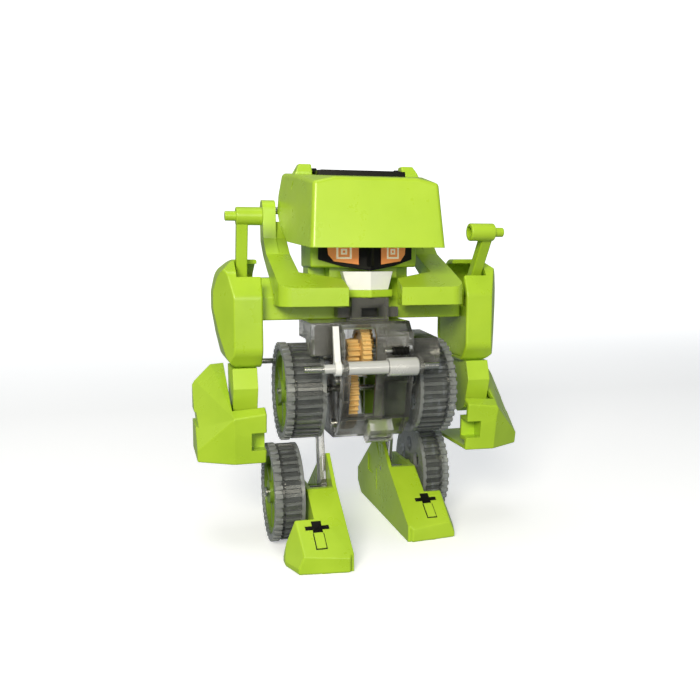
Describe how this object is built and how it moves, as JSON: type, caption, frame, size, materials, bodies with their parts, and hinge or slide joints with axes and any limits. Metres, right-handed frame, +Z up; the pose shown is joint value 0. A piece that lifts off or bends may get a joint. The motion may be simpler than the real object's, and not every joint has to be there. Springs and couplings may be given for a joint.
{
  "type": "solar robot kit",
  "caption": "Two-legged walking toy robot with a see-through gearbox, treaded wheels, swinging arms, a faceted visor and a small tilting solar panel on top.",
  "frame": {"origin": "centre of the whole box at ground level, between the two soles", "axes": "+Z up, the robot faces -Y, its wheel axles run along X; +X is the side that is on the right in the picture"},
  "size_m": [0.1152, 0.088, 0.1292],
  "materials": {
    "green_gloss": "glossy, lightly worn mould finish",
    "smoke_clear": "smoke-tinted translucent, glossy",
    "tread_smoke": "dark smoke, satin",
    "orange": "glossy",
    "white_gloss": "glossy",
    "black_gloss": "glossy",
    "steel": "drawn bar, bright",
    "silver_sleeve": "metallic silver, satin",
    "motor_steel": "plated can",
    "solar_cell": "dark cell under clear resin",
    "green_dark": "glossy, in shade"
  },
  "bodies": {
    "chassis": {"gearbox_case_left": "smoke_clear", "gearbox_case_right": "smoke_clear", "motor_cradle": "green_dark", "motor_can": "motor_steel", "gear_shafts": "steel", "front_shaft": "steel", "front_sleeves": "silver_sleeve", "rear_shaft": "steel", "clutch_lever": "white_gloss", "lower_bearing_block": "smoke_clear", "case_screws": "steel", "leg_pivot_pins": "steel", "shoulder_beam": "green_gloss", "head_box": "green_gloss", "face_mask": "black_gloss", "eye_lenses": "orange", "mouth_guard": "white_gloss", "chin_plate": "green_gloss", "neck_block": "smoke_clear", "jaw_shaft": "steel"},
    "main_axle": {"hip_axle": "steel", "final_gear": "orange", "upper_wheel_left": "tread_smoke", "upper_wheel_right": "tread_smoke", "upper_hub_left": "green_gloss", "upper_hub_right": "green_gloss"},
    "slow_gear": {"slow_compound_gear": "orange"},
    "fast_gear": {"fast_compound_gear": "orange"},
    "motor_shaft": {"motor_pinion": "white_gloss"},
    "visor": {"visor_shell": "green_gloss"},
    "solar_panel": {"solar_frame": "black_gloss", "solar_cell": "solar_cell"},
    "leg_left": {"leg_link_left": "smoke_clear"},
    "foot_assembly_left": {"foot_left": "green_gloss", "toe_tongue_left": "green_gloss", "ankle_axle_left": "steel"},
    "lower_wheel_assembly_left": {"lower_wheel_left": "tread_smoke", "lower_hub_left": "green_gloss"},
    "arm_left": {"upper_arm_left": "green_gloss", "arm_plate_left": "green_gloss", "lever_pin_left": "steel", "elbow_link_left": "green_gloss", "elbow_pin_left": "green_gloss"},
    "lever_left": {"peg_lever_left": "green_gloss"},
    "forearm_assembly_left": {"forearm_left": "green_gloss"},
    "jaw_left": {"horn_left": "green_gloss"},
    "leg_right": {"leg_link_right": "smoke_clear"},
    "foot_assembly_right": {"foot_right": "green_gloss", "toe_tongue_right": "green_gloss", "ankle_axle_right": "steel"},
    "lower_wheel_assembly_right": {"lower_wheel_right": "tread_smoke", "lower_hub_right": "green_gloss"},
    "arm_right": {"upper_arm_right": "green_gloss", "arm_plate_right": "green_gloss", "lever_pin_right": "steel", "elbow_link_right": "green_gloss", "elbow_pin_right": "green_gloss"},
    "lever_right": {"peg_lever_right": "green_gloss"},
    "forearm_assembly_right": {"forearm_right": "green_gloss"},
    "jaw_right": {"horn_right": "green_gloss"}
  },
  "joints": [
    {"name": "main_axle_spin", "type": "hinge", "parent": "chassis", "child": "main_axle", "pos_m": [0, -0.00647, 0.0518], "axis": [1, 0, 0], "continuous": true},
    {"name": "slow_gear_spin", "type": "hinge", "parent": "chassis", "child": "slow_gear", "pos_m": [0, -0.01547, 0.06599], "axis": [1, 0, 0], "continuous": true},
    {"name": "fast_gear_spin", "type": "hinge", "parent": "chassis", "child": "fast_gear", "pos_m": [0, -0.00498, 0.06635], "axis": [1, 0, 0], "continuous": true},
    {"name": "motor_spin", "type": "hinge", "parent": "chassis", "child": "motor_shaft", "pos_m": [0, 0.00454, 0.06191], "axis": [1, 0, 0], "continuous": true},
    {"name": "leg_left_swing", "type": "hinge", "parent": "chassis", "child": "leg_left", "pos_m": [-0.0149, 0.00133, 0.0705], "axis": [1, 0, 0], "range_deg": [0, 21.6]},
    {"name": "leg_right_swing", "type": "hinge", "parent": "chassis", "child": "leg_right", "pos_m": [0.0149, 0.00133, 0.0705], "axis": [1, 0, 0], "range_deg": [-21.6, 0]},
    {"name": "ankle_left_tilt", "type": "hinge", "parent": "leg_left", "child": "foot_assembly_left", "pos_m": [-0.0149, -0.00882, 0.01729], "axis": [1, 0, 0], "range_deg": [-21.6, 0]},
    {"name": "ankle_right_tilt", "type": "hinge", "parent": "leg_right", "child": "foot_assembly_right", "pos_m": [0.0149, 0.01148, 0.01729], "axis": [1, 0, 0], "range_deg": [0, 21.6]},
    {"name": "lower_wheel_left_spin", "type": "hinge", "parent": "foot_assembly_left", "child": "lower_wheel_assembly_left", "pos_m": [-0.0289, -0.00882, 0.01729], "axis": [1, 0, 0], "continuous": true},
    {"name": "shoulder_left_swing", "type": "hinge", "parent": "chassis", "child": "arm_left", "pos_m": [-0.037, -0.00047, 0.081], "axis": [1, 0, 0], "range_deg": [-60, 15]},
    {"name": "elbow_left_bend", "type": "hinge", "parent": "arm_left", "child": "forearm_assembly_left", "pos_m": [-0.042, -0.00347, 0.0455], "axis": [1, 0, 0], "range_deg": [-14, 10]},
    {"name": "jaw_left_lift", "type": "hinge", "parent": "chassis", "child": "jaw_left", "pos_m": [-0.0292, 0.01503, 0.114], "axis": [1, 0, 0], "range_deg": [-8, 0]},
    {"name": "lower_wheel_right_spin", "type": "hinge", "parent": "foot_assembly_right", "child": "lower_wheel_assembly_right", "pos_m": [0.0289, 0.01148, 0.01729], "axis": [1, 0, 0], "continuous": true},
    {"name": "shoulder_right_swing", "type": "hinge", "parent": "chassis", "child": "arm_right", "pos_m": [0.037, -0.00047, 0.081], "axis": [1, 0, 0], "range_deg": [-60, 15]},
    {"name": "elbow_right_bend", "type": "hinge", "parent": "arm_right", "child": "forearm_assembly_right", "pos_m": [0.042, -0.00347, 0.0455], "axis": [1, 0, 0], "range_deg": [-14, 10]},
    {"name": "jaw_right_lift", "type": "hinge", "parent": "chassis", "child": "jaw_right", "pos_m": [0.0292, 0.01503, 0.114], "axis": [1, 0, 0], "range_deg": [-8, 0]},
    {"name": "lever_left_rock", "type": "hinge", "parent": "arm_left", "child": "lever_left", "pos_m": [-0.0413, -0.00047, 0.081], "axis": [1, 0, 0], "range_deg": [0, 22.4]},
    {"name": "lever_right_rock", "type": "hinge", "parent": "arm_right", "child": "lever_right", "pos_m": [0.0413, -0.00047, 0.081], "axis": [1, 0, 0], "range_deg": [-22.4, 0]},
    {"name": "visor_tilt", "type": "hinge", "parent": "chassis", "child": "visor", "pos_m": [0, 0.00353, 0.115], "axis": [1, 0, 0], "range_deg": [-20, 0]},
    {"name": "panel_tilt", "type": "hinge", "parent": "visor", "child": "solar_panel", "pos_m": [0, 0.00203, 0.1264], "axis": [1, 0, 0], "range_deg": [0, 35]}
  ],
  "couplings": [
    {"joint": "slow_gear_spin", "follows": "main_axle_spin", "ratio": -3.6667},
    {"joint": "fast_gear_spin", "follows": "main_axle_spin", "ratio": 11.733},
    {"joint": "motor_spin", "follows": "main_axle_spin", "ratio": -37.547},
    {"joint": "leg_right_swing", "follows": "leg_left_swing", "ratio": -1},
    {"joint": "ankle_left_tilt", "follows": "leg_left_swing", "ratio": -1},
    {"joint": "ankle_right_tilt", "follows": "leg_left_swing", "ratio": 1},
    {"joint": "lever_right_rock", "follows": "lever_left_rock", "ratio": -1}
  ]
}
